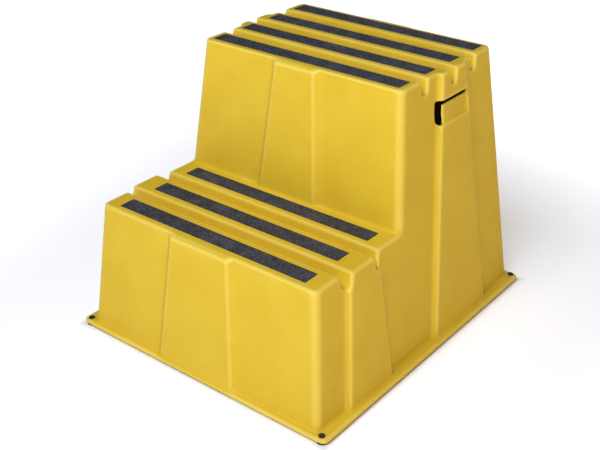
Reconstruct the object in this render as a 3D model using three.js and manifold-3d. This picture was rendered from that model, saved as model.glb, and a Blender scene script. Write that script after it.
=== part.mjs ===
// A two-tread mounting block: one hollow moulded shell, open underneath so that blocks nest,
// with a fixing flange round its foot, ribbed walls, drained treads and a hand hold in each side.
// Seven grit strips are stuck on the treads and four rubber feet are pushed into the flange's corners.
// Units are millimetres, +Z is up, the steps face -Y, and the origin is on the floor under the middle.
import * as THREE from "three";
import { mergeVertices } from "three/addons/utils/BufferGeometryUtils.js";
import Module from "manifold-3d";

const wasm = await Module();
wasm.setup();

// ---- Driving dimensions: heights are measured from the flange's underside ----
const WALL = 5; // thickness of the moulding
const LOWER_TREAD_HEIGHT = 255;
const UPPER_TREAD_HEIGHT = 500;

const FLANGE_WIDTH = 580; // along X
const FLANGE_DEPTH = 660; // along Y
const FLANGE_THICKNESS = 9;
const FLANGE_CORNER_RADIUS = 13;
const FLANGE_EDGE_ROUNDING = 2.5;
const SIDE_LEDGE = 22; // how far the flange stands out from the walls
const FRONT_LEDGE = 11;
const REAR_LEDGE = 10;

const SIDE_DRAFT = 0.1016; // how far each wall leans in, per unit of height
const FRONT_DRAFT = 0.106;
const RISER_DRAFT = 0.1016;
const REAR_DRAFT = 0.128;
const LOWER_TREAD_DEPTH = 232; // from the front wall to the riser, at the lower tread
const WALL_CORNER_RADIUS = 12;

// Ribs: raised panels up the middle of each wall, wider towards the floor, with sloping edges.
const FRONT_RIB_RISE = 8; // how far the front, riser and rear ribs stand out
const FRONT_RIB_SLOPE_WIDTH = 11; // width of a sloping edge, measured along the wall
const FRONT_RIB_RAMP = 5; // height over which these three ribs slope back to the tread's edge
const FRONT_RIB_HALF_WIDTH = 85; // at the flange, across the flat
const FRONT_RIB_TAPER = 0.088; // lost from each half width, per unit of height
const SIDE_RIB_RISE = 9;
const SIDE_RIB_SLOPE_WIDTH = 7;
const UPPER_SIDE_RIB_HALF_WIDTH = 37.4; // at the tread, across the flat
const UPPER_SIDE_RIB_TAPER = 0.1022; // gained by each half width, per unit of depth below the tread
const UPPER_SIDE_RIB_OFFSET = 4.7; // from the middle of the tread's slats, towards the rear
const UPPER_SIDE_RIB_SLANT = 0.0124; // the middle's move towards the rear, per unit of depth
const LOWER_SIDE_RIB_HALF_WIDTH = 39.2;
const LOWER_SIDE_RIB_TAPER = 0.0928;
const LOWER_SIDE_RIB_OFFSET = 4.9;
const LOWER_SIDE_RIB_SLANT = -0.0088;

// Drain grooves run right across each tread and part it into slats of equal depth.
const GROOVE_WIDTH = 24;
const GROOVE_DEPTH = 28;
const GROOVE_BOTTOM_RADIUS = 8;
const UPPER_GROOVES = 3;
const LOWER_GROOVES = 2;

// Grit strips: each is cut to leave a bare margin on its slat, along both edges and at both ends.
const STRIP_THICKNESS = 1;
const UPPER_STRIP_EDGE_MARGIN = 10.9;
const UPPER_STRIP_END_MARGIN = 13.2;
const LOWER_STRIP_EDGE_MARGIN = 13.7;
const LOWER_STRIP_END_MARGIN = 32.1;
const RISER_FILLET = 3; // the lower tread's flat stops this far short of the riser

// Hand hold: an opening in each upper side rib, with a finger guard inside it.
const HAND_HOLD_WIDTH = 96;
const HAND_HOLD_HEIGHT = 41;
const HAND_HOLD_DROP = 48; // from the upper tread to the opening's top
const HAND_HOLD_REAR_INSET = 2; // from the rear edge of the rib's flat to the opening
const HAND_HOLD_CORNER_RADIUS = 7;
const GUARD_THICKNESS = 4;
const GUARD_FRONT_GAP = 15; // finger gaps left open beside and above the guard
const GUARD_TOP_GAP = 7.5;
const GUARD_LAP = 7; // how far the guard reaches past the opening, where it joins the wall

const FOOT_DROP = 3; // how far the feet stand below the flange
const FOOT_INSET_X = 14; // from the flange's edges to a foot's axis
const FOOT_INSET_Y = 11.5;
const FOOT_HOLE_RADIUS = 4.5;
const FOOT_PAD_RADIUS = 8.5;
const FOOT_RECESS_DEPTH = 3;
const FOOT_HEAD_RADIUS = 6; // the head is wider than the hole, and holds the foot in
const FOOT_HEAD_HEIGHT = 3.2; // above the flange
const FIT_GAP = 0.3;

const CORNER_STEPS = 5; // straight lines in a quarter circle
const FOOT_SIDES = 28;
const OVERSHOOT = 1; // how far a cutter passes the face that it cuts
const FUSE = 0.5; // how far a joined piece reaches into the wall that it grows from
const RIB_TOP_RISE = 0.2; // what is left of a front, riser or rear rib at the tread's edge

const YELLOW = 0xdcb32e;
const GRIT_BLACK = 0x33353b;
const RUBBER_BLACK = 0x1d1c1b;

// ---- Walls ----
const sideX = (z) => FLANGE_WIDTH / 2 - SIDE_LEDGE - SIDE_DRAFT * z;
const frontY = (z) => FRONT_LEDGE - FLANGE_DEPTH / 2 + FRONT_DRAFT * z;
const rearY = (z) => FLANGE_DEPTH / 2 - REAR_LEDGE - REAR_DRAFT * z;
const riserY = (z) =>
  frontY(LOWER_TREAD_HEIGHT) + LOWER_TREAD_DEPTH + RISER_DRAFT * (z - LOWER_TREAD_HEIGHT);

// ---- Treads: their flats' front and rear edges, and the depth and middles of their slats along Y ----
const upperTread = { front: riserY(UPPER_TREAD_HEIGHT), rear: rearY(UPPER_TREAD_HEIGHT) };
const lowerTread = {
  front: frontY(LOWER_TREAD_HEIGHT),
  rear: riserY(LOWER_TREAD_HEIGHT) - RISER_FILLET,
};

function slatDepth(tread, grooves) {
  return (tread.rear - tread.front - grooves * GROOVE_WIDTH) / (grooves + 1);
}

function slatYs(tread, grooves) {
  const depth = slatDepth(tread, grooves);
  const first = tread.front + depth / 2;
  return Array.from({ length: grooves + 1 }, (_, i) => first + (depth + GROOVE_WIDTH) * i);
}

// ---- Side ribs: the front and rear edges of a rib's flat, at a height ----
function upperSideRib(z) {
  const depth = UPPER_TREAD_HEIGHT - z;
  const slatsMiddle = (upperTread.front + upperTread.rear) / 2;
  const middle = slatsMiddle + UPPER_SIDE_RIB_OFFSET + UPPER_SIDE_RIB_SLANT * depth;
  const half = UPPER_SIDE_RIB_HALF_WIDTH + UPPER_SIDE_RIB_TAPER * depth;
  return { front: middle - half, rear: middle + half };
}

function lowerSideRib(z) {
  const depth = LOWER_TREAD_HEIGHT - z;
  const slatsMiddle = (lowerTread.front + lowerTread.rear) / 2;
  const middle = slatsMiddle + LOWER_SIDE_RIB_OFFSET + LOWER_SIDE_RIB_SLANT * depth;
  const half = LOWER_SIDE_RIB_HALF_WIDTH + LOWER_SIDE_RIB_TAPER * depth;
  return { front: middle - half, rear: middle + half };
}

// ---- Solids ----
function toSolid(geometry) {
  const bare = geometry.clone();
  bare.deleteAttribute("normal");
  bare.deleteAttribute("uv");
  const merged = mergeVertices(bare, 1e-4);
  return new wasm.Manifold(
    new wasm.Mesh({
      numProp: 3,
      vertProperties: new Float32Array(merged.attributes.position.array),
      triVerts: new Uint32Array(merged.index.array),
    }),
  );
}

function toGeometry(solid) {
  const mesh = solid.getMesh();
  const geometry = new THREE.BufferGeometry();
  geometry.setAttribute("position", new THREE.BufferAttribute(mesh.vertProperties, 3));
  geometry.setIndex(new THREE.BufferAttribute(mesh.triVerts, 1));
  geometry.computeVertexNormals();
  return geometry;
}

// A closed solid between two level rings of the same number of points.
function loft(lowRing, lowZ, highRing, highZ) {
  const count = lowRing.length;
  const positions = [
    ...lowRing.flatMap((p) => [p.x, p.y, lowZ]),
    ...highRing.flatMap((p) => [p.x, p.y, highZ]),
  ];
  const faces = [];
  for (let i = 0; i < count; i++) {
    const next = (i + 1) % count;
    faces.push(i, next, count + next, i, count + next, count + i);
  }
  for (const [a, b, c] of THREE.ShapeUtils.triangulateShape(lowRing, [])) faces.push(a, c, b);
  for (const [a, b, c] of THREE.ShapeUtils.triangulateShape(highRing, []))
    faces.push(count + a, count + b, count + c);
  const geometry = new THREE.BufferGeometry();
  geometry.setAttribute("position", new THREE.Float32BufferAttribute(positions, 3));
  geometry.setIndex(faces);
  return toSolid(geometry);
}

// ---- Plan outline of the walls at a height, seen from above and running anticlockwise ----
// inset is 0 for the outside of the moulding and the wall's thickness for its inside.
// rise is how far the front, riser and rear ribs stand out at this height.
function planOutline(z, inset, isUpper, rise) {
  const x = sideX(z) - inset;
  const front = (isUpper ? riserY(z) : frontY(z)) + inset;
  const rear = rearY(z) - inset;
  const radius = WALL_CORNER_RADIUS - inset;
  const points = [];

  const corner = (centreX, centreY, startAngle) => {
    for (let i = 0; i <= CORNER_STEPS; i++) {
      const angle = startAngle + (Math.PI / 2) * (i / CORNER_STEPS);
      const px = centreX + radius * Math.cos(angle);
      points.push(new THREE.Vector2(px, centreY + radius * Math.sin(angle)));
    }
  };

  // The inside of a rib is its outside moved inwards, so its sloping edges shift along the wall.
  const frontRibShift = inset * Math.tan(Math.atan2(FRONT_RIB_RISE, FRONT_RIB_SLOPE_WIDTH) / 2);
  const sideRibShift = inset * Math.tan(Math.atan2(SIDE_RIB_RISE, SIDE_RIB_SLOPE_WIDTH) / 2);
  const flat = FRONT_RIB_HALF_WIDTH - FRONT_RIB_TAPER * z - frontRibShift;
  const foot = flat + FRONT_RIB_SLOPE_WIDTH;
  const sideRibs = isUpper ? [upperSideRib(z)] : [lowerSideRib(z), upperSideRib(z)];
  const sidePoints = sideRibs.flatMap((rib) => {
    const ribFront = rib.front + sideRibShift;
    const ribRear = rib.rear - sideRibShift;
    return [
      [x, ribFront - SIDE_RIB_SLOPE_WIDTH],
      [x + SIDE_RIB_RISE, ribFront],
      [x + SIDE_RIB_RISE, ribRear],
      [x, ribRear + SIDE_RIB_SLOPE_WIDTH],
    ];
  });

  corner(-x + radius, front + radius, Math.PI);
  points.push(new THREE.Vector2(-foot, front), new THREE.Vector2(-flat, front - rise));
  points.push(new THREE.Vector2(flat, front - rise), new THREE.Vector2(foot, front));
  corner(x - radius, front + radius, -Math.PI / 2);
  for (const [px, py] of sidePoints) points.push(new THREE.Vector2(px, py));
  corner(x - radius, rear - radius, 0);
  points.push(new THREE.Vector2(foot, rear), new THREE.Vector2(flat, rear + rise));
  points.push(new THREE.Vector2(-flat, rear + rise), new THREE.Vector2(-foot, rear));
  corner(-x + radius, rear - radius, Math.PI / 2);
  for (const [px, py] of [...sidePoints].reverse()) points.push(new THREE.Vector2(-px, py));
  return points;
}

// One storey of the body: full ribs up to the ramp, then ribs that slope back to the tread's edge.
function storey(bottom, top, inset, isUpper) {
  const rampZ = top - FRONT_RIB_RAMP;
  const atRamp = planOutline(rampZ, inset, isUpper, FRONT_RIB_RISE);
  const walls = loft(planOutline(bottom, inset, isUpper, FRONT_RIB_RISE), bottom, atRamp, rampZ);
  const ramp = loft(atRamp, rampZ, planOutline(top, inset, isUpper, RIB_TOP_RISE), top);
  return walls.add(ramp);
}

// The stepped body, solid through, with its surfaces moved in by inset. The rear rib runs on past
// the lower tread's level, so the upper storey starts low enough to cover the ramp there.
function steppedBody(bottom, inset) {
  const lowerTop = LOWER_TREAD_HEIGHT - inset;
  const upperTop = UPPER_TREAD_HEIGHT - inset;
  const lower = storey(bottom, lowerTop, inset, false);
  return lower.add(storey(lowerTop - FRONT_RIB_RAMP, upperTop, inset, true));
}

// ---- Drain grooves ----
// A groove lies midway between each two slats.
function grooveYs(tread, grooves) {
  const slats = slatYs(tread, grooves);
  return slats.slice(1).map((y, i) => (y + slats[i]) / 2);
}

const upperGrooveYs = grooveYs(upperTread, UPPER_GROOVES);
const lowerGrooveYs = grooveYs(lowerTread, LOWER_GROOVES);

// A groove's cutter: sloping walls tangent to a round bottom, run across the block along X.
// grow is how far every face is moved outwards.
function grooveCutter(y, treadZ, grow) {
  const radius = GROOVE_BOTTOM_RADIUS + grow;
  const centreZ = treadZ - GROOVE_DEPTH + GROOVE_BOTTOM_RADIUS;
  const rise = treadZ - centreZ;
  const reach = Math.hypot(GROOVE_WIDTH / 2, rise);
  const lipAngle = Math.atan2(rise, GROOVE_WIDTH / 2);
  const wallAngle = lipAngle - Math.acos(GROOVE_BOTTOM_RADIUS / reach); // of the wall's normal
  const topZ = treadZ + OVERSHOOT;
  const topHalf = (radius - (topZ - centreZ) * Math.sin(wallAngle)) / Math.cos(wallAngle);
  const shape = new THREE.Shape();
  shape.moveTo(topHalf, topZ);
  shape.lineTo(-topHalf, topZ);
  shape.absarc(0, centreZ, radius, Math.PI - wallAngle, 2 * Math.PI + wallAngle, false);
  shape.closePath();
  const length = FLANGE_WIDTH;
  const geometry = new THREE.ExtrudeGeometry(shape, {
    depth: length,
    bevelEnabled: false,
    curveSegments: 2 * CORNER_STEPS,
  });
  // The shape's x runs along Y, its y along Z, and the extrusion along X.
  geometry.applyMatrix4(
    new THREE.Matrix4().makeBasis(
      new THREE.Vector3(0, 1, 0),
      new THREE.Vector3(0, 0, 1),
      new THREE.Vector3(1, 0, 0),
    ),
  );
  geometry.translate(-length / 2, y, 0);
  return toSolid(geometry);
}

const grooveCutters = (grow) => [
  ...upperGrooveYs.map((y) => grooveCutter(y, UPPER_TREAD_HEIGHT, grow)),
  ...lowerGrooveYs.map((y) => grooveCutter(y, LOWER_TREAD_HEIGHT, grow)),
];

// ---- Flange ----
function roundedRectangle(lowX, lowY, highX, highY, radius) {
  const shape = new THREE.Shape();
  shape.absarc(highX - radius, highY - radius, radius, 0, Math.PI / 2);
  shape.absarc(lowX + radius, highY - radius, radius, Math.PI / 2, Math.PI);
  shape.absarc(lowX + radius, lowY + radius, radius, Math.PI, 1.5 * Math.PI);
  shape.absarc(highX - radius, lowY + radius, radius, 1.5 * Math.PI, 2 * Math.PI);
  shape.closePath();
  return shape;
}

function flangePlate() {
  const bevel = FLANGE_EDGE_ROUNDING;
  const halfX = FLANGE_WIDTH / 2 - bevel;
  const halfY = FLANGE_DEPTH / 2 - bevel;
  const shape = roundedRectangle(-halfX, -halfY, halfX, halfY, FLANGE_CORNER_RADIUS - bevel);
  const geometry = new THREE.ExtrudeGeometry(shape, {
    depth: FLANGE_THICKNESS - 2 * bevel,
    bevelSize: bevel,
    bevelThickness: bevel,
    bevelSegments: 3,
    curveSegments: 2 * CORNER_STEPS,
  });
  geometry.translate(0, 0, bevel);
  return toSolid(geometry);
}

// A round bar standing on (x, y), from lowZ to highZ.
function roundCutter(x, y, radius, lowZ, highZ) {
  const geometry = new THREE.CylinderGeometry(radius, radius, highZ - lowZ, FOOT_SIDES);
  geometry.rotateX(Math.PI / 2);
  geometry.translate(x, y, (lowZ + highZ) / 2);
  return toSolid(geometry);
}

// ---- Hand holds ----
const ribFaceX = (z) => sideX(z) + SIDE_RIB_RISE;
const handHoldTop = UPPER_TREAD_HEIGHT - HAND_HOLD_DROP;
const handHoldBottom = handHoldTop - HAND_HOLD_HEIGHT;
const ribAtHandHold = upperSideRib((handHoldTop + handHoldBottom) / 2);
const handHoldRear = ribAtHandHold.rear - HAND_HOLD_REAR_INSET;
const handHoldFront = handHoldRear - HAND_HOLD_WIDTH;

// A block whose outline is drawn looking along X, from lowX to highX.
function acrossBlock(shape, lowX, highX) {
  const geometry = new THREE.ExtrudeGeometry(shape, {
    depth: highX - lowX,
    bevelEnabled: false,
    curveSegments: CORNER_STEPS,
  });
  geometry.applyMatrix4(
    new THREE.Matrix4().makeBasis(
      new THREE.Vector3(0, 1, 0),
      new THREE.Vector3(0, 0, 1),
      new THREE.Vector3(1, 0, 0),
    ),
  );
  geometry.translate(lowX, 0, 0);
  return toSolid(geometry);
}

function handHoldCutter() {
  const shape = roundedRectangle(
    handHoldFront,
    handHoldBottom,
    handHoldRear,
    handHoldTop,
    HAND_HOLD_CORNER_RADIUS,
  );
  const innerX = sideX(handHoldTop) - WALL - OVERSHOOT;
  return acrossBlock(shape, innerX, ribFaceX(handHoldBottom) + OVERSHOOT);
}

// The finger guard on the right-hand side: a plate that leans with the wall, just inside it. It
// joins the wall below and behind the opening, and stops short of its top and front edges.
function fingerGuard() {
  const ring = (z) => {
    const innerX = ribFaceX(z) - WALL - GUARD_THICKNESS;
    const front = handHoldFront + GUARD_FRONT_GAP;
    const rear = handHoldRear + GUARD_LAP;
    return [
      new THREE.Vector2(innerX, front),
      new THREE.Vector2(ribFaceX(z), front),
      new THREE.Vector2(ribFaceX(z), rear),
      new THREE.Vector2(innerX, rear),
    ];
  };
  const lowZ = handHoldBottom - GUARD_LAP;
  const highZ = handHoldTop - GUARD_TOP_GAP;
  return loft(ring(lowZ), lowZ, ring(highZ), highZ).intersect(steppedBody(0, WALL - FUSE));
}

// ---- Feet ----
const footSpots = [
  ["front_left", -1, -1],
  ["front_right", 1, -1],
  ["rear_left", -1, 1],
  ["rear_right", 1, 1],
].map(([name, signX, signY]) => ({
  name,
  x: signX * (FLANGE_WIDTH / 2 - FOOT_INSET_X),
  y: signY * (FLANGE_DEPTH / 2 - FOOT_INSET_Y),
}));

// A rubber foot: a pad below the flange, a stem through the flange's hole, and a domed head above it.
function footGeometry() {
  const stem = FOOT_HOLE_RADIUS - FIT_GAP;
  const padTop = FOOT_RECESS_DEPTH - FIT_GAP;
  const headBottom = FLANGE_THICKNESS + FIT_GAP;
  const headTop = FLANGE_THICKNESS + FOOT_HEAD_HEIGHT;
  const chamfer = FOOT_DROP / 4;
  const outline = new THREE.Path();
  outline.moveTo(0, -FOOT_DROP);
  outline.lineTo(FOOT_PAD_RADIUS - chamfer, -FOOT_DROP);
  outline.lineTo(FOOT_PAD_RADIUS, chamfer - FOOT_DROP);
  outline.lineTo(FOOT_PAD_RADIUS, padTop);
  outline.lineTo(stem, padTop);
  outline.lineTo(stem, headBottom);
  outline.lineTo(FOOT_HEAD_RADIUS, headBottom);
  outline.quadraticCurveTo(FOOT_HEAD_RADIUS, headTop, 0, headTop);
  return new THREE.LatheGeometry(outline.getPoints(CORNER_STEPS), FOOT_SIDES).rotateX(Math.PI / 2);
}

// ---- The moulded shell ----
function shellGeometry() {
  const mirror = (solid) => solid.mirror([1, 0, 0]);
  let shell = steppedBody(0, 0).add(flangePlate());
  let core = steppedBody(-OVERSHOOT, WALL);
  for (const ridge of grooveCutters(WALL)) core = core.subtract(ridge);
  shell = shell.subtract(core);
  for (const groove of grooveCutters(0)) shell = shell.subtract(groove);
  const opening = handHoldCutter();
  shell = shell.subtract(opening).subtract(mirror(opening));
  const guard = fingerGuard();
  shell = shell.add(guard).add(mirror(guard));
  for (const { x, y } of footSpots) {
    const hole = roundCutter(x, y, FOOT_HOLE_RADIUS, -OVERSHOOT, FLANGE_THICKNESS + OVERSHOOT);
    const recess = roundCutter(x, y, FOOT_PAD_RADIUS + FIT_GAP, -OVERSHOOT, FOOT_RECESS_DEPTH);
    shell = shell.subtract(hole).subtract(recess);
  }
  return toGeometry(shell);
}

// ---- Grit strips: one on each slat of a tread ----
function gritStrips(storeyName, tread, treadZ, grooves, edgeMargin, endMargin, material) {
  const length = 2 * (sideX(treadZ) - endMargin);
  const width = slatDepth(tread, grooves) - 2 * edgeMargin;
  return slatYs(tread, grooves).map((y, i) => {
    const geometry = new THREE.BoxGeometry(length, width, STRIP_THICKNESS);
    const strip = new THREE.Mesh(geometry, material);
    strip.name = `${storeyName}_grip_strip_${i + 1}`;
    strip.position.set(0, y, treadZ + STRIP_THICKNESS / 2);
    return strip;
  });
}

// ---- Assembly ----
const mouldedPlastic = new THREE.MeshStandardMaterial({ color: YELLOW, roughness: 0.42, metalness: 0 });
const gritTape = new THREE.MeshStandardMaterial({ color: GRIT_BLACK, roughness: 0.95, metalness: 0 });
const rubber = new THREE.MeshStandardMaterial({ color: RUBBER_BLACK, roughness: 0.8, metalness: 0 });

const block = new THREE.Group();
block.name = "mounting_block";
block.position.z = FOOT_DROP; // the feet stand on the floor

const shell = new THREE.Mesh(shellGeometry(), mouldedPlastic);
shell.name = "moulded_shell";
block.add(shell);

const lowerMargins = [LOWER_STRIP_EDGE_MARGIN, LOWER_STRIP_END_MARGIN];
const upperMargins = [UPPER_STRIP_EDGE_MARGIN, UPPER_STRIP_END_MARGIN];
block.add(
  ...gritStrips("lower", lowerTread, LOWER_TREAD_HEIGHT, LOWER_GROOVES, ...lowerMargins, gritTape),
  ...gritStrips("upper", upperTread, UPPER_TREAD_HEIGHT, UPPER_GROOVES, ...upperMargins, gritTape),
);

for (const { name, x, y } of footSpots) {
  const foot = new THREE.Mesh(footGeometry(), rubber);
  foot.name = `foot_${name}`;
  foot.position.set(x, y, 0);
  block.add(foot);
}

export default block;
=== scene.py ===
# %% [markdown]
# # A moulded mounting block
# This lesson builds the looks of a two-tread mounting block around a finished frame of exact solids.
# The block is one hollow yellow moulding with black grit strips on its treads and a rubber foot in
# each corner. The frame gives the pieces' places and overall sizes, and the few inner sizes that it
# doesn't list, such as a foot's hole, are written here as the exact solids have them. What is left to
# make is what a mould and a roll of tape leave: rounded edges, orange peel, grit and soft gloss.

# %% Load the frame
import math

import bmesh
import bpy
from mathutils import Matrix, Vector, noise


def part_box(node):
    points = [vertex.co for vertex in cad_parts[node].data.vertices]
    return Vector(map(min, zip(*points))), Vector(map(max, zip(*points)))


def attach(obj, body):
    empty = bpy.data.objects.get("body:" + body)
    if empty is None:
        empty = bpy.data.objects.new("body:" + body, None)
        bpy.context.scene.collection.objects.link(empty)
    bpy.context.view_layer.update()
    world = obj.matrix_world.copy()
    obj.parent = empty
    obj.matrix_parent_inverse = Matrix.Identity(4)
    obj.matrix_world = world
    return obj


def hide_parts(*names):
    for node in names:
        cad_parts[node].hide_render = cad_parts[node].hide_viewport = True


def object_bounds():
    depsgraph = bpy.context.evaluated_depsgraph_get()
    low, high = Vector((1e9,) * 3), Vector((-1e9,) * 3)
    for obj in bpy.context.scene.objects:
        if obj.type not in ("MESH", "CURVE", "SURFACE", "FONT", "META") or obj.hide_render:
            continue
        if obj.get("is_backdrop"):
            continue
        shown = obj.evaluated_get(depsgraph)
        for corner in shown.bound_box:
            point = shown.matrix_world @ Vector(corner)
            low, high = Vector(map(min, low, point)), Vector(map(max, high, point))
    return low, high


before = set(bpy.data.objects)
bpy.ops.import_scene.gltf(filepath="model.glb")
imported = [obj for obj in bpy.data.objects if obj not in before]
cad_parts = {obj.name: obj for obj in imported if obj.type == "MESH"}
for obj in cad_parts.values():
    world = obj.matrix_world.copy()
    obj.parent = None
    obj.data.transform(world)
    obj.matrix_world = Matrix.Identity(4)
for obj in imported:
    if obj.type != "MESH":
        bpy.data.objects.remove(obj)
cad_low, cad_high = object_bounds()
block_middle = (cad_low + cad_high) / 2
print("frame nodes:", len(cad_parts), "size in mm:", [round(v * 1000) for v in cad_high - cad_low])

# %% [markdown]
# ## Helpers
# Sizes are easier to read in millimetres, and Blender works in metres, so MM turns one into the
# other. Colours are written as the hex values of a paint chart, which are sRGB, and the shader wants
# linear light, so one function turns them. One more function adds a node to a material, with its
# settings and its links, so that each material below reads as a short recipe.

# %% Units, colours and nodes
MM = 0.001


def linear(hex_colour):
    """sRGB hex to the linear RGBA that shaders work in."""
    channels = [int(hex_colour[i : i + 2], 16) / 255 for i in (1, 3, 5)]
    return [c / 12.92 if c <= 0.04045 else ((c + 0.055) / 1.055) ** 2.4 for c in channels] + [1.0]


def per_metre(millimetres):
    """A texture's Scale for a pattern that repeats every so many millimetres."""
    return 1 / (millimetres * MM)


def add_node(material, kind, inputs=None, **settings):
    """Adds a node, sets its properties, and fills its inputs, named or numbered, with values or outputs."""
    tree = material.node_tree
    made = tree.nodes.new(kind)
    for name, value in settings.items():
        setattr(made, name, value)
    for name, value in (inputs or {}).items():
        if isinstance(value, bpy.types.NodeSocket):
            tree.links.new(value, made.inputs[name])
        else:
            made.inputs[name].default_value = value
    return made


def new_material(name, surface):
    """A material and its surface shader, with the values that are the same all over it."""
    material = bpy.data.materials.new(name)
    material.use_nodes = True
    shader = material.node_tree.nodes["Principled BSDF"]
    for socket, value in surface.items():
        shader.inputs[socket].default_value = value
    return material, shader


def feed(material, shader, outputs):
    """Links outputs to the surface shader's sockets, by name."""
    for socket, output in outputs.items():
        material.node_tree.links.new(output, shader.inputs[socket])


print("helpers are ready")

# %% [markdown]
# ## Yellow moulded polyethylene
# The shell is polyethylene, coloured right through, as most plastic steps are. It comes out of a
# steel mould that was blasted to a fine satin, so it has a soft, broad gloss with no sharp mirror
# image. Three things keep it from looking like paint on glass. The skin has an orange peel a few
# millimetres wide, the flats sink and swell very slightly where thick and thin places cooled at
# different speeds, and the pigment is never stirred in quite evenly. The proud edges also get a
# painted highlight, a paler yellow in the colour itself. The peel could be modelled, but it is hundredths of
# a millimetre high, so it is bump, and the whole pattern is worked out from real widths.

# %% Polyethylene
PEEL_WIDTH = 4.5  # the real peel is nearer 2 mm, which is too fine to show
PEEL_HEIGHT = 0.03
COOLING_WAVE_WIDTH = 110
COOLING_WAVE_HEIGHT = 0.25
PIGMENT_PATCH_WIDTH = 70
GLOSS_PATCH_WIDTH = 35
SCUFF_LENGTH = 26
SCUFF_WIDTH = 2.5
SATIN_GLOSS = 0.2  # a blasted skin gives back less of its gloss than a smooth one, which is 0.5


def moulded_polyethylene():
    plastic, shader = new_material(
        "moulded_polyethylene", {"IOR": 1.51, "Metallic": 0.0, "Specular IOR Level": SATIN_GLOSS}
    )
    place = add_node(plastic, "ShaderNodeTexCoord").outputs["Object"]

    pigment = add_node(
        plastic,
        "ShaderNodeTexNoise",
        {"Vector": place, "Scale": per_metre(PIGMENT_PATCH_WIDTH), "Detail": 3.0, "Roughness": 0.6},
    )
    colour = add_node(plastic, "ShaderNodeValToRGB", {"Fac": pigment.outputs["Fac"]})
    colour.color_ramp.elements[0].position = 0.3
    colour.color_ramp.elements[0].color = linear("#deb92b")
    colour.color_ramp.elements[1].position = 0.7
    colour.color_ramp.elements[1].color = linear("#e4c135")

    # Proud edges get a painted highlight, a little paler, and only those: a Pointiness of 0.5 is flat, and
    # more than that is an outward curve. The range is narrow, because the shell's edges are softly rounded.
    sharpness = add_node(plastic, "ShaderNodeNewGeometry").outputs["Pointiness"]
    painted_edge_highlight = add_node(
        plastic,
        "ShaderNodeMapRange",
        {"Value": sharpness, "From Min": 0.503, "From Max": 0.518, "To Min": 0.0, "To Max": 0.6},
    )
    colour_with_edge_highlight = add_node(plastic, "ShaderNodeMixRGB", {"Fac": painted_edge_highlight.outputs["Result"]})
    # The paler yellow of the painted highlight along the proud edges.
    colour_with_edge_highlight.inputs["Color2"].default_value = linear("#f3da66")
    plastic.node_tree.links.new(colour.outputs["Color"], colour_with_edge_highlight.inputs["Color1"])

    # Gloss: patches of satin, with short faint scuffs that lie along the treads' length.
    patches = add_node(
        plastic, "ShaderNodeTexNoise", {"Vector": place, "Scale": per_metre(GLOSS_PATCH_WIDTH), "Detail": 4.0}
    )
    stretch = (SCUFF_WIDTH / SCUFF_LENGTH, 1.0, 1.0)
    along = add_node(plastic, "ShaderNodeMapping", {"Vector": place, "Scale": stretch})
    scuffs = add_node(
        plastic,
        "ShaderNodeTexNoise",
        {"Vector": along.outputs["Vector"], "Scale": per_metre(SCUFF_WIDTH), "Detail": 1.0},
    )
    gloss = add_node(
        plastic, "ShaderNodeMath", {0: patches.outputs["Fac"], 1: scuffs.outputs["Fac"]}, operation="ADD"
    )
    roughness = add_node(
        plastic,
        "ShaderNodeMapRange",
        {"Value": gloss.outputs["Value"], "From Min": 0.7, "From Max": 1.3, "To Min": 0.38, "To Max": 0.46},
    )

    peel = add_node(
        plastic, "ShaderNodeTexNoise", {"Vector": place, "Scale": per_metre(PEEL_WIDTH), "Detail": 1.0}
    )
    peel_bump = add_node(
        plastic, "ShaderNodeBump", {"Height": peel.outputs["Fac"], "Distance": PEEL_HEIGHT * MM}
    )
    waves = add_node(
        plastic,
        "ShaderNodeTexNoise",
        {"Vector": place, "Scale": per_metre(COOLING_WAVE_WIDTH), "Detail": 1.0},
    )
    wave_bump = add_node(
        plastic,
        "ShaderNodeBump",
        {
            "Height": waves.outputs["Fac"],
            "Distance": COOLING_WAVE_HEIGHT * MM,
            "Normal": peel_bump.outputs["Normal"],
        },
    )
    feed(
        plastic,
        shader,
        {
            "Base Color": colour_with_edge_highlight.outputs["Color"],
            "Roughness": roughness.outputs["Result"],
            "Normal": wave_bump.outputs["Normal"],
        },
    )
    return plastic


polyethylene = moulded_polyethylene()
print("material:", polyethylene.name, "with", len(polyethylene.node_tree.nodes), "nodes")

# %% [markdown]
# ## Silicon carbide grit tape
# The strips are anti-slip tape: crushed silicon carbide set in black resin on a film. Each grain is
# a hard dark crystal with flat faces, so the strip looks almost black with a sparse grey glitter
# where a face happens to catch the light. A noise would give soft blotches. Voronoi cells give what
# crushed mineral has, which is a flat tone for each grain and a hard line between grains.

# %% Grit tape
GRAIN_WIDTH = 1.9  # the real grains are about 0.3 mm, which is too fine to show
GRAIN_HEIGHT = 0.25
DUST_PATCH_WIDTH = 30


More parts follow.
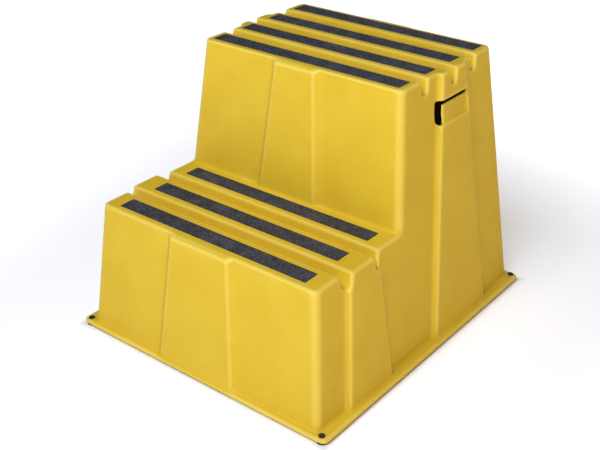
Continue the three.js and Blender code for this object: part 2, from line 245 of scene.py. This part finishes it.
def silicon_carbide_grit():
    grit, shader = new_material("silicon_carbide_grit", {"IOR": 1.6, "Metallic": 0.0})
    place = add_node(grit, "ShaderNodeTexCoord").outputs["Object"]
    grains = add_node(
        grit, "ShaderNodeTexVoronoi", {"Vector": place, "Scale": per_metre(GRAIN_WIDTH)}, feature="F1"
    )
    shade_of_grain = add_node(grit, "ShaderNodeSeparateColor", {"Color": grains.outputs["Color"]})
    colour = add_node(grit, "ShaderNodeValToRGB", {"Fac": shade_of_grain.outputs["Red"]})
    colour.color_ramp.elements[0].position = 0.0
    colour.color_ramp.elements[0].color = linear("#212226")
    colour.color_ramp.elements[1].position = 1.0
    colour.color_ramp.elements[1].color = linear("#585b63")
    middle = colour.color_ramp.elements.new(0.7)
    middle.color = linear("#2d2f35")

    # A little pale dust is trodden between the grains, in patches.
    dust = add_node(
        grit, "ShaderNodeTexNoise", {"Vector": place, "Scale": per_metre(DUST_PATCH_WIDTH), "Detail": 3.0}
    )
    dusty = add_node(
        grit,
        "ShaderNodeMapRange",
        {"Value": dust.outputs["Fac"], "From Min": 0.45, "From Max": 0.8, "To Min": 0.0, "To Max": 0.16},
    )
    coloured = add_node(grit, "ShaderNodeMixRGB", {"Fac": dusty.outputs["Result"]})
    coloured.inputs["Color2"].default_value = linear("#8a8c90")
    grit.node_tree.links.new(colour.outputs["Color"], coloured.inputs["Color1"])

    # One grain in a few has a clean face that shines. The resin and the broken faces don't.
    roughness = add_node(
        grit,
        "ShaderNodeMapRange",
        {
            "Value": shade_of_grain.outputs["Green"],
            "From Min": 0.75,
            "From Max": 1.0,
            "To Min": 0.85,
            "To Max": 0.4,
        },
    )
    bump = add_node(
        grit,
        "ShaderNodeBump",
        {"Height": grains.outputs["Distance"], "Distance": GRAIN_HEIGHT * MM, "Strength": 0.8},
        invert=True,
    )
    feed(
        grit,
        shader,
        {
            "Base Color": coloured.outputs["Color"],
            "Roughness": roughness.outputs["Result"],
            "Normal": bump.outputs["Normal"],
        },
    )
    return grit


grit_tape = silicon_carbide_grit()
print("material:", grit_tape.name, "with", len(grit_tape.node_tree.nodes), "nodes")

# %% [markdown]
# ## Black moulded rubber
# The feet are natural rubber filled with carbon black. It is a brownish black with a dull sheen, and a
# bloom of wax and dust pales it in patches. It has a fine grain from the mould, so the recipe is a
# dark colour pushed about by one noise, a high roughness and a small bump.

# %% Rubber
RUBBER_GRAIN_WIDTH = 0.8
RUBBER_GRAIN_HEIGHT = 0.03
BLOOM_PATCH_WIDTH = 6


def moulded_rubber():
    rubber, shader = new_material("carbon_black_rubber", {"IOR": 1.52, "Metallic": 0.0})
    place = add_node(rubber, "ShaderNodeTexCoord").outputs["Object"]
    bloom = add_node(
        rubber, "ShaderNodeTexNoise", {"Vector": place, "Scale": per_metre(BLOOM_PATCH_WIDTH), "Detail": 4.0}
    )
    colour = add_node(rubber, "ShaderNodeValToRGB", {"Fac": bloom.outputs["Fac"]})
    colour.color_ramp.elements[0].position = 0.35
    colour.color_ramp.elements[0].color = linear("#1f160e")
    colour.color_ramp.elements[1].position = 0.75
    colour.color_ramp.elements[1].color = linear("#38291b")
    roughness = add_node(
        rubber,
        "ShaderNodeMapRange",
        {"Value": bloom.outputs["Fac"], "From Min": 0.3, "From Max": 0.7, "To Min": 0.62, "To Max": 0.85},
    )
    grain = add_node(
        rubber, "ShaderNodeTexNoise", {"Vector": place, "Scale": per_metre(RUBBER_GRAIN_WIDTH), "Detail": 2.0}
    )
    bump = add_node(
        rubber, "ShaderNodeBump", {"Height": grain.outputs["Fac"], "Distance": RUBBER_GRAIN_HEIGHT * MM}
    )
    feed(
        rubber,
        shader,
        {
            "Base Color": colour.outputs["Color"],
            "Roughness": roughness.outputs["Result"],
            "Normal": bump.outputs["Normal"],
        },
    )
    return rubber


black_rubber = moulded_rubber()
print("material:", black_rubber.name, "with", len(black_rubber.node_tree.nodes), "nodes")

# %% [markdown]
# ## Pieces and the bodies they belong to
# Nothing on a mounting block moves, so the frame has one body, and every piece rides on it. Each
# piece made here stands in for one exact solid, which is hidden. A
# modifier could be left on a piece, but the next one works on the finished mesh, so each is applied.

# %% A new piece
def new_piece(name, made, material, node):
    """Turns a bmesh into a smooth piece that stands for a node of the frame, and hides that node."""
    mesh = bpy.data.meshes.new(name)
    made.to_mesh(mesh)
    made.free()
    mesh.materials.append(material)
    for face in mesh.polygons:
        face.use_smooth = True
    piece = bpy.data.objects.new(name, mesh)
    bpy.context.scene.collection.objects.link(piece)
    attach(piece, "root")
    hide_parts(node)
    return piece


def apply_modifier(piece, kind, **settings):
    """Adds one modifier with its settings and makes its result the piece's own mesh."""
    bpy.context.view_layer.objects.active = piece
    modifier = piece.modifiers.new(kind.lower(), kind)
    for name, value in settings.items():
        setattr(modifier, name, value)
    bpy.ops.object.modifier_apply(modifier=modifier.name)


print("pieces and modifiers can be made")

# %% [markdown]
# ## The moulded shell
# The frame's shell has every wall, rib and groove in place, but its edges are knife sharp, and molten
# plastic can't fill a sharp corner. A bevel would round each edge by itself and fail where a rib, a
# groove and a tread meet. So the shell is turned into a fine skin of even squares and then
# relaxed: flats stay flat, and every edge, inside and out, melts to much the same soft radius, as in
# a mould. The spare faces on the flats are then thinned out. The skin would also melt the small foot
# holes, so they are plugged before it is made and cut crisply afterwards.

# %% Where the foot holes are
HOLE_RADIUS = 4.5 * MM  # these four are the exact solids' own sizes
RECESS_CLEARANCE = 0.3 * MM  # round a foot's pad
RECESS_DEPTH = 3 * MM
FLANGE_THICKNESS = 9 * MM
HOLE_SIDES = 40

shell_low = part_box("moulded_shell")[0]
feet = [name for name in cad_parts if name.startswith("foot_")]
foot_boxes = {name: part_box(name) for name in feet}
print("feet:", len(feet), "flange underside at", round(shell_low.z / MM, 2), "mm")


def round_bar(made, axis, radius, low_z, high_z):
    """Adds a closed round bar to a bmesh, standing on a point."""
    place = Matrix.Translation((axis.x, axis.y, (low_z + high_z) / 2))
    bmesh.ops.create_cone(
        made,
        cap_ends=True,
        segments=HOLE_SIDES,
        radius1=radius,
        radius2=radius,
        depth=high_z - low_z,
        matrix=place,
    )


# %% The rounded skin
SKIN_SQUARE = 2.5 * MM
EDGE_SOFTENING = 10
FACES_KEPT = 0.16


def rounded_skin():
    made = bmesh.new()
    made.from_mesh(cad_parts["moulded_shell"].data)
    for low, high in foot_boxes.values():
        plug_radius = (high.x - low.x) / 2 + 2 * RECESS_CLEARANCE
        round_bar(made, (low + high) / 2, plug_radius, shell_low.z, shell_low.z + FLANGE_THICKNESS)
    shell = new_piece("shell_moulding", made, polyethylene, "moulded_shell")
    apply_modifier(shell, "REMESH", mode="VOXEL", voxel_size=SKIN_SQUARE, use_smooth_shade=True)
    apply_modifier(shell, "SMOOTH", factor=0.5, iterations=EDGE_SOFTENING)
    apply_modifier(shell, "DECIMATE", decimate_type="COLLAPSE", ratio=FACES_KEPT)
    return shell


shell_moulding = rounded_skin()
print("shell skin faces:", len(shell_moulding.data.polygons))

# %% [markdown]
# ## The foot holes
# Each corner of the flange has a round hole for a foot's stem, and a shallow round recess below it that
# the foot's pad sits in. They could be cut by one cutter, but its bars would overlap, and a Boolean
# takes far longer to sort that out. So the recesses are cut first and the holes second, each by a
# cutter of four separate bars.

# %% Drilling the foot holes
def drill(shell, bars):
    """Cuts one round bar at each foot out of the shell: bars gives a foot's box its radius and ends."""
    made = bmesh.new()
    for low, high in foot_boxes.values():
        round_bar(made, (low + high) / 2, *bars(low, high))
    mesh = bpy.data.meshes.new("drill")
    made.to_mesh(mesh)
    made.free()
    cutter = bpy.data.objects.new("drill", mesh)
    bpy.context.scene.collection.objects.link(cutter)
    apply_modifier(shell, "BOOLEAN", operation="DIFFERENCE", object=cutter, solver="EXACT")
    bpy.data.objects.remove(cutter)


def recess(low, high):
    radius = (high.x - low.x) / 2 + RECESS_CLEARANCE
    return radius, shell_low.z - FLANGE_THICKNESS, shell_low.z + RECESS_DEPTH


def hole(low, high):
    return HOLE_RADIUS, shell_low.z - FLANGE_THICKNESS, shell_low.z + 2 * FLANGE_THICKNESS


drill(shell_moulding, recess)
drill(shell_moulding, hole)
print("shell faces after drilling:", len(shell_moulding.data.polygons))

# %% [markdown]
# ## The grit strips
# A strip is a slab of tape about a millimetre thick. It was cut from a roll with slightly rounded
# corners, so that no corner lifts. Bump alone would leave its top glass flat and its upper edge razor
# sharp, so each strip is a fine grid whose top is roughened grain by grain and whose rim drops a
# little. The grid is kept inside the exact slab. Each strip reads its own stretch of one fixed noise,
# so that no two are alike and every run gives the same strips.

# %% One strip
GRID_SQUARE = 1.6 * MM
CORNER_RADIUS = 1.5 * MM
GRAIN_RELIEF = 0.35 * MM
RIM_DROP = 0.35 * MM


def inside_round_corners(x, y, half_x, half_y):
    """Pulls a point near a corner of the strip onto the corner's round."""
    over_x = abs(x) - (half_x - CORNER_RADIUS)
    over_y = abs(y) - (half_y - CORNER_RADIUS)
    reach = math.hypot(max(over_x, 0), max(over_y, 0))
    if reach <= CORNER_RADIUS:
        return x, y
    pull = CORNER_RADIUS / reach
    new_x = half_x - CORNER_RADIUS + over_x * pull
    new_y = half_y - CORNER_RADIUS + over_y * pull
    return math.copysign(new_x, x), math.copysign(new_y, y)


def grit_strip(node, offset):
    low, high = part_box(node)
    middle = (low + high) / 2
    half_x, half_y = (high.x - low.x) / 2, (high.y - low.y) / 2
    count_x = round(2 * half_x / GRID_SQUARE)
    count_y = round(2 * half_y / GRID_SQUARE)
    made = bmesh.new()
    rows = []
    for j in range(count_y + 1):
        row = []
        for i in range(count_x + 1):
            flat_x = half_x * (2 * i / count_x - 1)
            flat_y = half_y * (2 * j / count_y - 1)
            x, y = inside_round_corners(flat_x, flat_y, half_x, half_y)
            on_rim = i in (0, count_x) or j in (0, count_y)
            height = noise.cell(Vector((i + offset, j, 0)))
            drop = RIM_DROP if on_rim else 0
            relief = 0 if on_rim else GRAIN_RELIEF * (1 - height)
            z = high.z - drop - relief
            row.append(made.verts.new((middle.x + x, middle.y + y, z)))
        rows.append(row)
    for near, far in zip(rows, rows[1:]):
        for i in range(count_x):
            made.faces.new((near[i], near[i + 1], far[i + 1], far[i]))
    rim = [edge for edge in made.edges if edge.is_boundary]
    wall = bmesh.ops.extrude_edge_only(made, edges=rim)["geom"]
    for vert in wall:
        if isinstance(vert, bmesh.types.BMVert):
            vert.co.z = low.z
    bmesh.ops.holes_fill(made, edges=[edge for edge in made.edges if edge.is_boundary])
    bmesh.ops.recalc_face_normals(made, faces=made.faces)
    name = node.replace("grip_strip", "grit_tape")
    return new_piece(name, made, grit_tape, node)


print("grid squares of a strip are", round(GRID_SQUARE / MM, 1), "mm")

# %% All the strips
NOISE_STRETCH = 1000  # more grid squares than a strip is long
strips = [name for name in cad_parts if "grip_strip" in name]
for number, node in enumerate(sorted(strips)):
    strip = grit_strip(node, NOISE_STRETCH * number)
    print(strip.name, "faces:", len(strip.data.polygons))

# %% [markdown]
# ## The rubber feet
# A foot is turned in shape: a pad that takes the weight, a stem that is pulled up through the flange's
# hole, and a domed head that springs open above it and holds the foot in. Its outline is drawn once,
# from the axis out and back, and spun. Each corner of the outline is rounded by a short bend, because a
# rubber mould has no sharp corners, and the underside has a shallow dish that grips a wet yard.

# %% One foot
FOOT_SIDES = 48
CORNER_BEND = 0.5 * MM
DISH_DEPTH = 0.5 * MM
BEND_STEPS = 3
DOME_STEPS = 8
FOOT_FIT = 0.3 * MM
HEAD_RADIUS = 6 * MM  # as the exact feet have it
DISH_SHARE = 0.6  # of the pad's radius
HEAD_RIM_SHARE = 0.3  # of the head's height, below its dome
LONGEST_BEND_SHARE = 0.4  # of the outline's stretch that it bends
SEAM = 0.01 * MM


def foot_outline(pad_radius, height):
    """A foot's half section: (radius, height) from the axis below, round the outside, to the axis above."""
    drop = shell_low.z
    pad_top = drop + RECESS_DEPTH - FOOT_FIT
    head_bottom = drop + FLANGE_THICKNESS + FOOT_FIT
    stem_radius = HOLE_RADIUS - FOOT_FIT
    dish = pad_radius * DISH_SHARE
    outline = [
        (0, DISH_DEPTH),
        (dish, DISH_DEPTH),
        (dish + DISH_DEPTH, 0),
        (pad_radius, 0),
        (pad_radius, pad_top),
        (stem_radius, pad_top),
        (stem_radius, head_bottom),
        (HEAD_RADIUS, head_bottom),
    ]
    rim_top = head_bottom + (height - head_bottom) * HEAD_RIM_SHARE
    for step in range(DOME_STEPS):
        angle = math.pi / 2 * step / DOME_STEPS
        outline.append((HEAD_RADIUS * math.cos(angle), rim_top + (height - rim_top) * math.sin(angle)))
    return outline + [(0, height)]


def bend_corners(outline):
    """Replaces each inner corner of an outline by a short curve."""
    bent = [outline[0]]
    for before, corner, after in zip(outline, outline[1:], outline[2:]):
        corner = Vector(corner)
        inward = Vector(before) - corner
        outward = Vector(after) - corner
        start = corner + inward.normalized() * min(CORNER_BEND, inward.length * LONGEST_BEND_SHARE)
        end = corner + outward.normalized() * min(CORNER_BEND, outward.length * LONGEST_BEND_SHARE)
        for step in range(BEND_STEPS + 1):
            t = step / BEND_STEPS
            point = start * (1 - t) ** 2 + corner * 2 * t * (1 - t) + end * t**2
            bent.append((point.x, point.y))
    return bent + [outline[-1]]


def rubber_foot(node):
    low, high = foot_boxes[node]
    middle = (low + high) / 2
    outline = bend_corners(foot_outline((high.x - low.x) / 2, high.z - low.z))
    made = bmesh.new()
    points = [made.verts.new((middle.x + radius, middle.y, low.z + z)) for radius, z in outline]
    edges = [made.edges.new(pair) for pair in zip(points, points[1:])]
    bmesh.ops.spin(
        made,
        geom=points + edges,
        cent=(middle.x, middle.y, 0),
        axis=(0, 0, 1),
        angle=2 * math.pi,
        steps=FOOT_SIDES,
    )
    bmesh.ops.remove_doubles(made, verts=made.verts, dist=SEAM)
    bmesh.ops.recalc_face_normals(made, faces=made.faces)
    return new_piece(node.replace("foot_", "rubber_foot_"), made, black_rubber, node)


print("a foot's head is", round(2 * HEAD_RADIUS / MM, 1), "mm across")

# %% All the feet
for node in feet:
    foot = rubber_foot(node)
    print(foot.name, "faces:", len(foot.data.polygons))

# %% [markdown]
# ## The floor
# The block stands on a sheet of white laminate, lit from below like a photographer's light table, so
# that it stays white right round the block and where the softboxes no longer reach. The glow stops
# under the block, or it would shine up into the hollow and out through the hand holds. The sheet is a
# stage piece and isn't part of the object, and gloss rays pass it by, so that the walls don't mirror
# a glowing floor.

# %% Floor
FLOOR_SIZE = 12.0  # metres
MOTTLE_WIDTH = 400
NEAR_GLOW = 0.36
NEAR_GLOW_REACH = (0.98, 1.04)  # in half widths of the block from its middle, so 1 is its edge
FAR_GLOW = 0.5  # added to the near glow, where the softboxes no longer reach
FAR_GLOW_REACH = (1.5, 4.0)


def pale_laminate():
    laminate, shader = new_material("pale_laminate", {"Emission Color": linear("#ffffff"), "IOR": 1.5})
    place = add_node(laminate, "ShaderNodeTexCoord").outputs["Object"]
    mottle = add_node(laminate, "ShaderNodeTexNoise", {"Vector": place, "Scale": per_metre(MOTTLE_WIDTH)})
    colour = add_node(laminate, "ShaderNodeValToRGB", {"Fac": mottle.outputs["Fac"]})
    colour.color_ramp.elements[0].color = linear("#f2f2f1")
    colour.color_ramp.elements[1].color = linear("#f7f7f6")
    roughness = add_node(
        laminate, "ShaderNodeMapRange", {"Value": mottle.outputs["Fac"], "To Min": 0.6, "To Max": 0.7}
    )

    # How far a point lies from the middle, in half widths of the block, along whichever side is further.
    half = (cad_high - cad_low) / 2
    signed = add_node(
        laminate, "ShaderNodeVectorMath", {0: place, 1: (half.x, half.y, 1.0)}, operation="DIVIDE"
    )
    unsigned = add_node(
        laminate, "ShaderNodeVectorMath", {0: signed.outputs["Vector"]}, operation="ABSOLUTE"
    )
    across = add_node(laminate, "ShaderNodeSeparateXYZ", {"Vector": unsigned.outputs["Vector"]})
    reach = add_node(
        laminate, "ShaderNodeMath", {0: across.outputs["X"], 1: across.outputs["Y"]}, operation="MAXIMUM"
    )
    near, far = (
        add_node(
            laminate,
            "ShaderNodeMapRange",
            {"Value": reach.outputs["Value"], "From Min": start, "From Max": end, "To Max": strength},
            interpolation_type="SMOOTHSTEP",
        )
        for (start, end), strength in ((NEAR_GLOW_REACH, NEAR_GLOW), (FAR_GLOW_REACH, FAR_GLOW))
    )
    glow = add_node(
        laminate, "ShaderNodeMath", {0: near.outputs["Result"], 1: far.outputs["Result"]}, operation="ADD"
    )
    feed(
        laminate,
        shader,
        {
            "Base Color": colour.outputs["Color"],
            "Roughness": roughness.outputs["Result"],
            "Emission Strength": glow.outputs["Value"],
        },
    )
    return laminate


def studio_floor():
    made = bmesh.new()
    bmesh.ops.create_grid(made, x_segments=2, y_segments=2, size=FLOOR_SIZE / 2)
    mesh = bpy.data.meshes.new("studio_floor")
    made.to_mesh(mesh)
    made.free()
    mesh.materials.append(pale_laminate())
    floor = bpy.data.objects.new("studio_floor", mesh)
    floor.visible_glossy = False
    bpy.context.scene.collection.objects.link(floor)
    floor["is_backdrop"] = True
    return floor


print("floor:", studio_floor().name)

# %% [markdown]
# ## Light
# One large softbox stands high in front, a little to the right, and gives the front walls and the
# treads their even, bright yellow. A small one low in front of the nearest corner draws the highlight
# down the rounded corners. A dim amber one lies low on the right, so that the right-hand wall is a
# deeper yellow than the front, and a last one, low behind, keeps the back from going flat. The world
# is a very low, even white, so that the grooves aren't lost. Near softboxes fall off across the block
# as real ones do, which the sun lamp wouldn't. The Standard view shows the chart's colours as they
# are, where the filmic views would grey the yellow.

# %% Softboxes and world
SOFTBOX_DISTANCE = 2.7  # metres, as are the two widths
LARGE_SOFTBOX = 1.6
SMALL_SOFTBOX = 0.8
WORLD_STRENGTH = 0.06


def softbox(name, azimuth, elevation, size, power, colour):
    """A square area light that faces the block from an azimuth and an elevation, in degrees."""
    light = bpy.data.lights.new(name, "AREA")
    light.shape = "SQUARE"
    light.size = size
    light.energy = power
    light.color = linear(colour)[:3]
    lamp = bpy.data.objects.new(name, light)
    bpy.context.scene.collection.objects.link(lamp)
    az, el = math.radians(azimuth), math.radians(elevation)
    towards = Vector((math.sin(az) * math.cos(el), -math.cos(az) * math.cos(el), math.sin(el)))
    lamp.location = block_middle + towards * SOFTBOX_DISTANCE
    lamp.rotation_euler = (-towards).to_track_quat("-Z", "Y").to_euler()
    return lamp


softbox("key_softbox", 12, 52, LARGE_SOFTBOX, 70, "#ebefff")
softbox("corner_fill", 46, 4, SMALL_SOFTBOX, 7, "#fff4d8")
softbox("right_fill", 85, 4, LARGE_SOFTBOX, 7, "#ffb04a")
softbox("rear_fill", 180, 8, LARGE_SOFTBOX, 14, "#ffffff")
world = bpy.data.worlds.new("studio")
world.use_nodes = True
world.node_tree.nodes["Background"].inputs["Color"].default_value = linear("#ffffff")
world.node_tree.nodes["Background"].inputs["Strength"].default_value = WORLD_STRENGTH
bpy.context.scene.world = world
bpy.context.scene.view_settings.view_transform = "Standard"

# %% [markdown]
# ## Camera
# The camera looks down on the front right-hand corner from about two metres, with a short telephoto
# lens, so the walls converge a little. It is aimed just below and in front of the block's middle, which
# puts the whole block in the frame with the margins that a catalogue picture has.

# %% Camera
CAMERA_AZIMUTH = math.radians(38.415)
CAMERA_ELEVATION = math.radians(28.675)
CAMERA_ROLL = math.radians(-0.084)
CAMERA_DISTANCE = 1.9077
CAMERA_LENS = 60.9
AIM_FROM_MIDDLE = Vector((0.7, -27.3, -69.6)) * MM

camera = bpy.data.objects.new("camera", bpy.data.cameras.new("camera"))
camera.data.lens = CAMERA_LENS
camera.data.sensor_width = 36
away = Vector(
    (
        math.sin(CAMERA_AZIMUTH) * math.cos(CAMERA_ELEVATION),
        -math.cos(CAMERA_AZIMUTH) * math.cos(CAMERA_ELEVATION),
        math.sin(CAMERA_ELEVATION),
    )
)
camera.location = block_middle + AIM_FROM_MIDDLE + away * CAMERA_DISTANCE
camera.rotation_mode = "QUATERNION"
level = (-away).to_track_quat("-Z", "Y")
camera.rotation_quaternion = level @ Matrix.Rotation(CAMERA_ROLL, 3, "Z").to_quaternion()
bpy.context.scene.collection.objects.link(camera)
bpy.context.scene.camera = camera
print("camera at", [round(v, 3) for v in camera.location])

# %% [markdown]
# ## Finish
# The looks must not outgrow the frame, so the box of the whole block is worked out twice, as the
# exact solids give it and as the finished pieces do, and the largest difference is printed.

# %% Sizes and finish
low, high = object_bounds()
differences = [*(low - cad_low), *(high - cad_high)]
print("visual box differs by at most", round(max(abs(v) for v in differences) / MM, 2), "mm")
